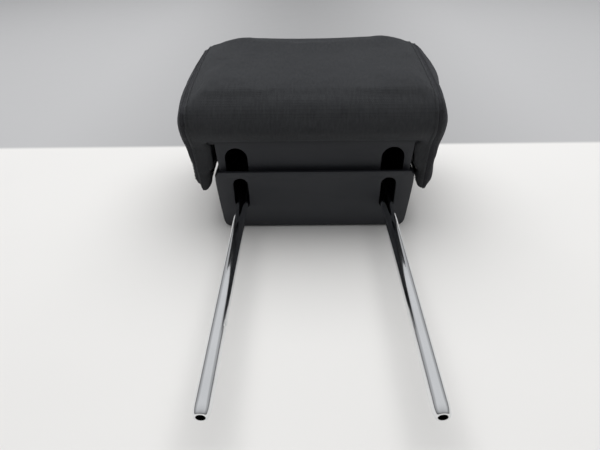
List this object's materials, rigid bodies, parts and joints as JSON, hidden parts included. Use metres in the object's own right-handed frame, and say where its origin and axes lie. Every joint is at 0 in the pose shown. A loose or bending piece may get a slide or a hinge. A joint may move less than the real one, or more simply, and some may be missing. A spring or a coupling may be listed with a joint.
{
  "type": "two-post head restraint",
  "caption": "Fabric head cushion with side wings that slides forward out of a moulded rear shell and tilts on a bent chromed tube with notched posts.",
  "frame": {"origin": "on the flat of the rear shell's back, in the middle plane", "axes": "+X across the posts, +Y along the posts away from their tips, +Z out of the cushion's face"},
  "size_m": [0.256, 0.3941, 0.1563],
  "materials": {
    "chromed_tube": "polished chrome",
    "shell_plastic": "fine moulded grain",
    "carrier_plastic": "fine moulded grain",
    "acetal": "smooth natural",
    "bright_steel": "zinc bright",
    "foam": "moulded foam skin",
    "face_fabric": "fine flat weave",
    "side_fabric": "fine flat weave"
  },
  "bodies": {
    "stay": {"stay_tube": "chromed_tube"},
    "housing": {"rear_shell": "shell_plastic", "saddle_left": "shell_plastic", "saddle_right": "shell_plastic", "clamp_cap_left": "shell_plastic", "clamp_cap_right": "shell_plastic", "friction_bush_left": "acetal", "friction_bush_right": "acetal", "guide_rod_left": "bright_steel", "guide_rod_right": "bright_steel", "ratchet_rack": "acetal", "rack_screw": "bright_steel", "clamp_screw_1": "bright_steel", "clamp_screw_2": "bright_steel", "clamp_screw_3": "bright_steel", "clamp_screw_4": "bright_steel"},
    "carrier": {"carrier_tray": "carrier_plastic", "guide_bush_left": "acetal", "guide_bush_right": "acetal", "side_clip_left": "carrier_plastic", "side_clip_right": "carrier_plastic", "crown_clip": "carrier_plastic", "lower_clip": "carrier_plastic", "foam_core": "foam", "face_cover": "face_fabric", "side_cover_left": "side_fabric", "side_cover_right": "side_fabric", "pawl_pin": "bright_steel", "pawl_spring": "bright_steel"},
    "pawl": {"pawl": "bright_steel"}
  },
  "joints": [
    {"name": "head_tilt", "type": "hinge", "parent": "stay", "child": "housing", "pos_m": [0, 0.005, 0.03], "axis": [1, 0, 0], "range_deg": [0, 16]},
    {"name": "cushion_slide", "type": "slide", "parent": "housing", "child": "carrier", "axis": [0, 0, 1], "range_m": [-0.029, 0]},
    {"name": "pawl_swing", "type": "hinge", "parent": "carrier", "child": "pawl", "pos_m": [0, -0.019, 0.072], "axis": [1, 0, 0], "range_deg": [-12, 0]}
  ]
}
